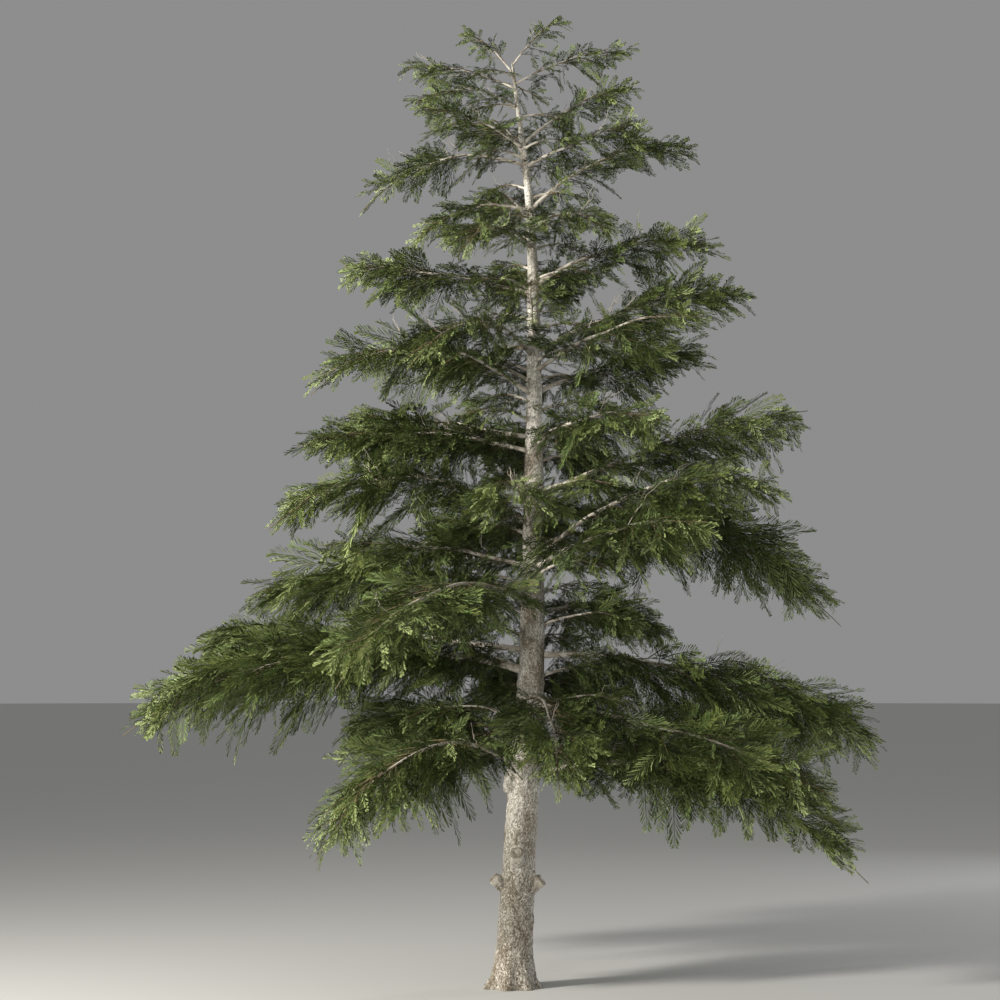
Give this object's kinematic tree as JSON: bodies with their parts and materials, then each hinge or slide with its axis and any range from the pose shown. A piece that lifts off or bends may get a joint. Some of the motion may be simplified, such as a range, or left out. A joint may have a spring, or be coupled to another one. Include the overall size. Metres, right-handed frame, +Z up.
{
  "type": "conifer tree",
  "caption": "Whole open-grown conifer: pale leaning trunk with root flare and cut stubs, long arching limbs in tiers and flat drooping sprays of scale leaves. Stands rooted in level ground.",
  "frame": {"origin": "middle of the flat cut under the trunk, at ground level", "axes": "+Z up the trunk, +X to the right in the picture, -Y towards the viewer"},
  "size_m": [6.3178, 4.1684, 8.0065],
  "materials": {
    "bark": "matte",
    "foliage": "matte"
  },
  "bodies": {
    "root": {"trunk": "bark", "tier1_right_bough": "bark", "tier2_right_bough": "bark", "tier2_front_right_bough": "bark", "tier2_left_bough": "bark", "tier2_back_left_bough": "bark", "tier3_front_left_bough": "bark", "tier3_back_left_bough": "bark", "tier4_back_right_bough": "bark", "tier5_right_bough": "bark", "tier1_right_foliage": "foliage", "tier1_front_left_foliage": "foliage", "tier1_back_left_foliage": "foliage", "tier1_back_right_foliage": "foliage", "tier1_front_foliage": "foliage", "tier2_right_foliage": "foliage", "tier2_front_right_foliage": "foliage", "tier2_left_foliage": "foliage", "tier2_back_foliage": "foliage", "tier2_back_left_foliage": "foliage", "tier3_front_left_foliage": "foliage", "tier3_back_left_foliage": "foliage", "tier3_back_right_foliage": "foliage", "tier4_left_foliage": "foliage", "tier4_front_right_foliage": "foliage", "tier4_right_foliage": "foliage", "tier4_back_right_foliage": "foliage", "tier4_front_foliage": "foliage", "tier4_front_left_foliage": "foliage", "tier4_back_foliage": "foliage", "tier5_left_foliage": "foliage", "tier5_back_left_foliage": "foliage", "tier5_right_foliage": "foliage", "tier5_front_right_foliage": "foliage", "tier5_back_foliage": "foliage", "tier6_front_left_foliage": "foliage", "tier6_right_foliage": "foliage", "tier6_front_right_foliage": "foliage", "tier6_back_right_foliage": "foliage", "tier6_back_left_foliage": "foliage", "tier7_left_foliage": "foliage", "tier7_front_left_foliage": "foliage", "tier7_right_foliage": "foliage", "tier7_front_foliage": "foliage", "tier7_back_foliage": "foliage", "tier8_left_foliage": "foliage", "tier8_right_foliage": "foliage", "tier8_front_left_foliage": "foliage", "tier8_front_right_foliage": "foliage", "tier8_back_foliage": "foliage", "tier9_left_foliage": "foliage", "tier9_right_foliage": "foliage", "tier9_back_right_foliage": "foliage", "tier9_front_left_foliage": "foliage", "tier9_back_foliage": "foliage", "tier10_left_foliage": "foliage", "tier10_right_foliage": "foliage", "tier10_front_left_foliage": "foliage", "tier11_left_foliage": "foliage", "tier11_right_foliage": "foliage"}
  },
  "joints": []
}
